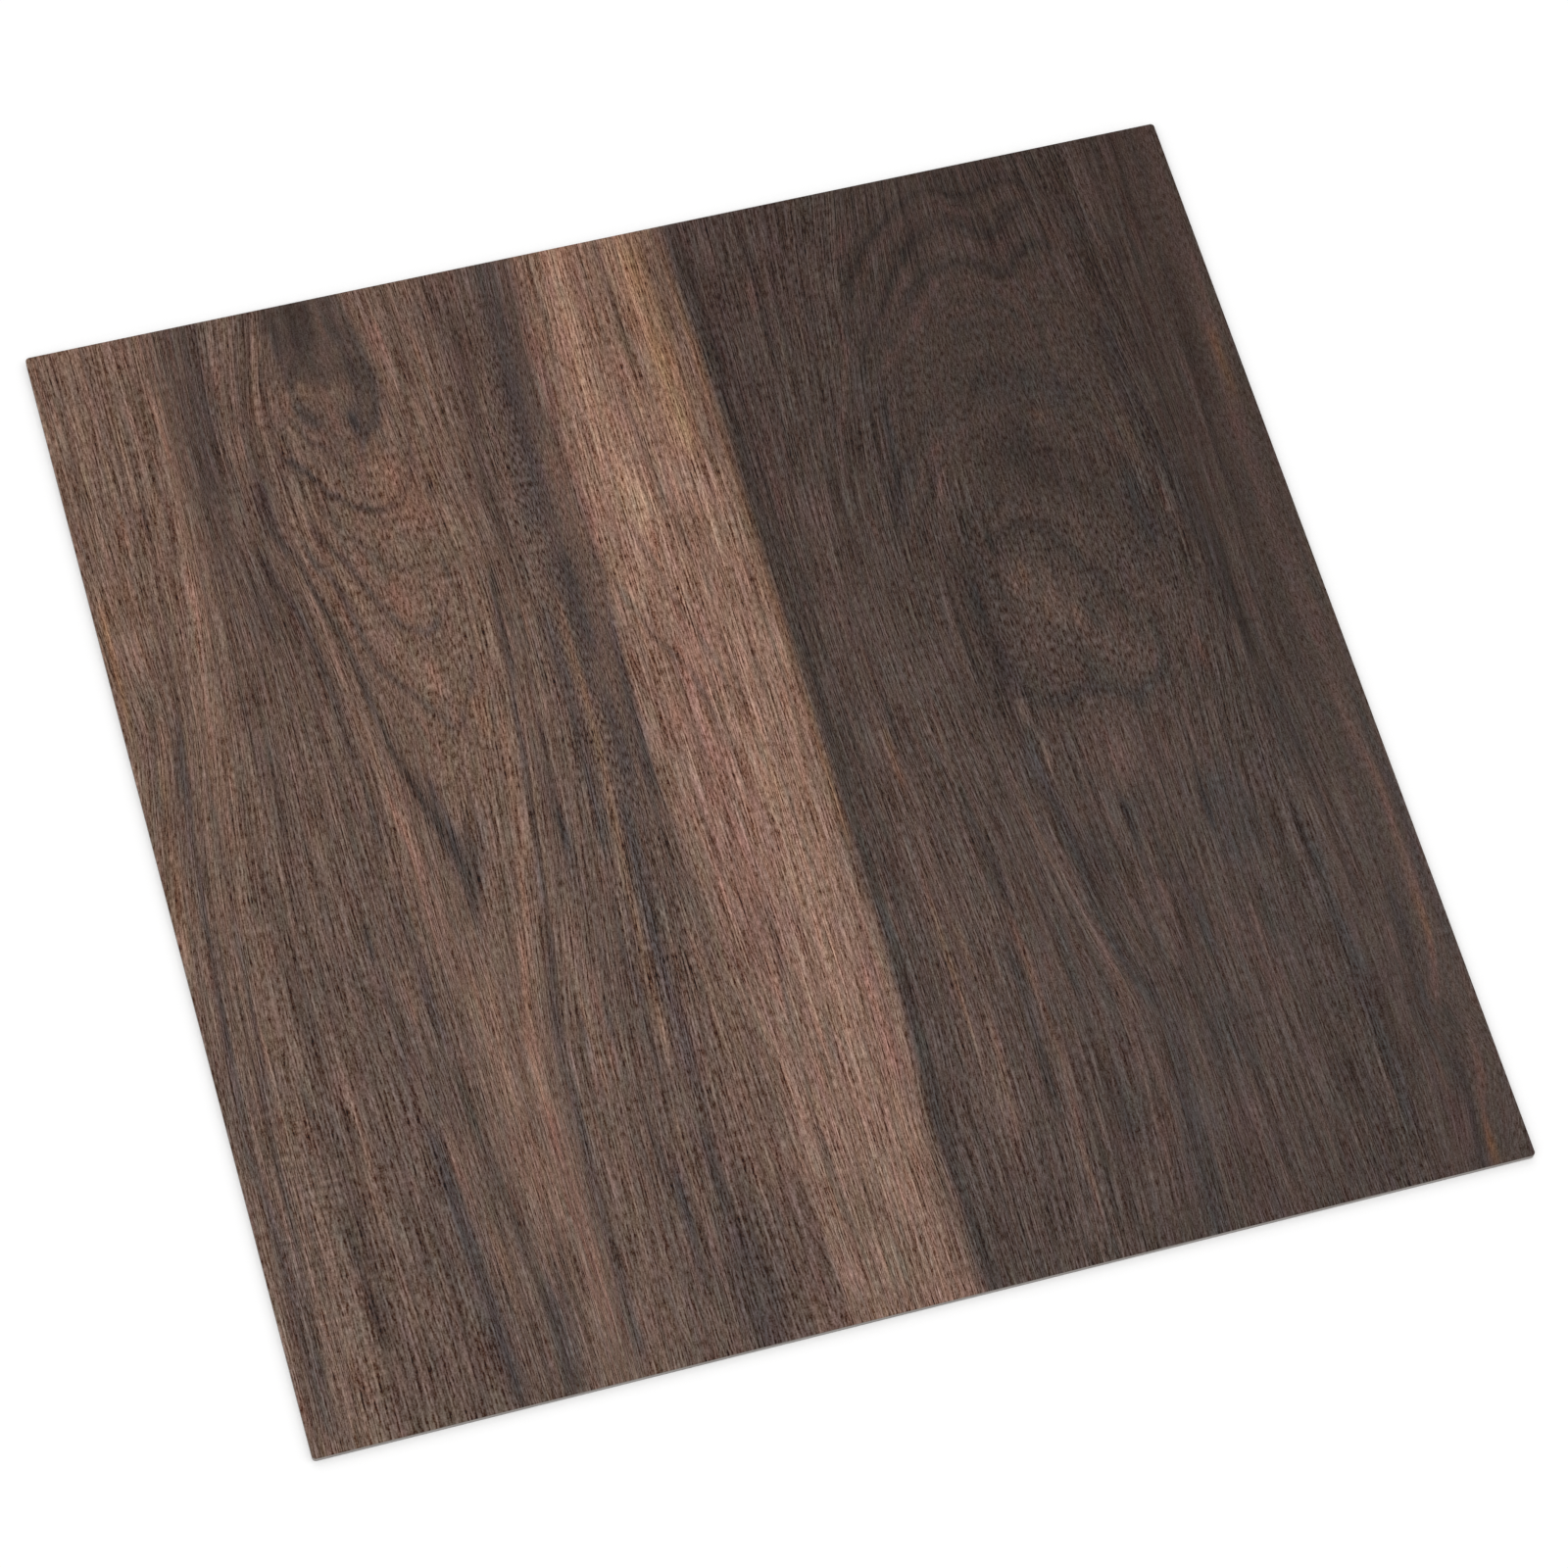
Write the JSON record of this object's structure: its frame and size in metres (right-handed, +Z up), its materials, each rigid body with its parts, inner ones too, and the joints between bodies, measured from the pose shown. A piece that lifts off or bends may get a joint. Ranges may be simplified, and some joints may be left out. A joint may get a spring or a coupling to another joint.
{
  "type": "vinyl floor tile",
  "caption": "Thin square resilient floor tile with a dark walnut wood-grain printed top, laid edge to edge and bonded by its flat back.",
  "frame": {"origin": "centre of the flat back, which is bonded to the subfloor", "axes": "+Z up out of the printed top, +Y along the wood grain from the front edge to the far edge, +X to the right across the grain"},
  "size_m": [0.3048, 0.3048, 0.002],
  "materials": {
    "vinyl": "satin"
  },
  "bodies": {
    "root": {"vinyl_tile": "vinyl"}
  },
  "joints": []
}
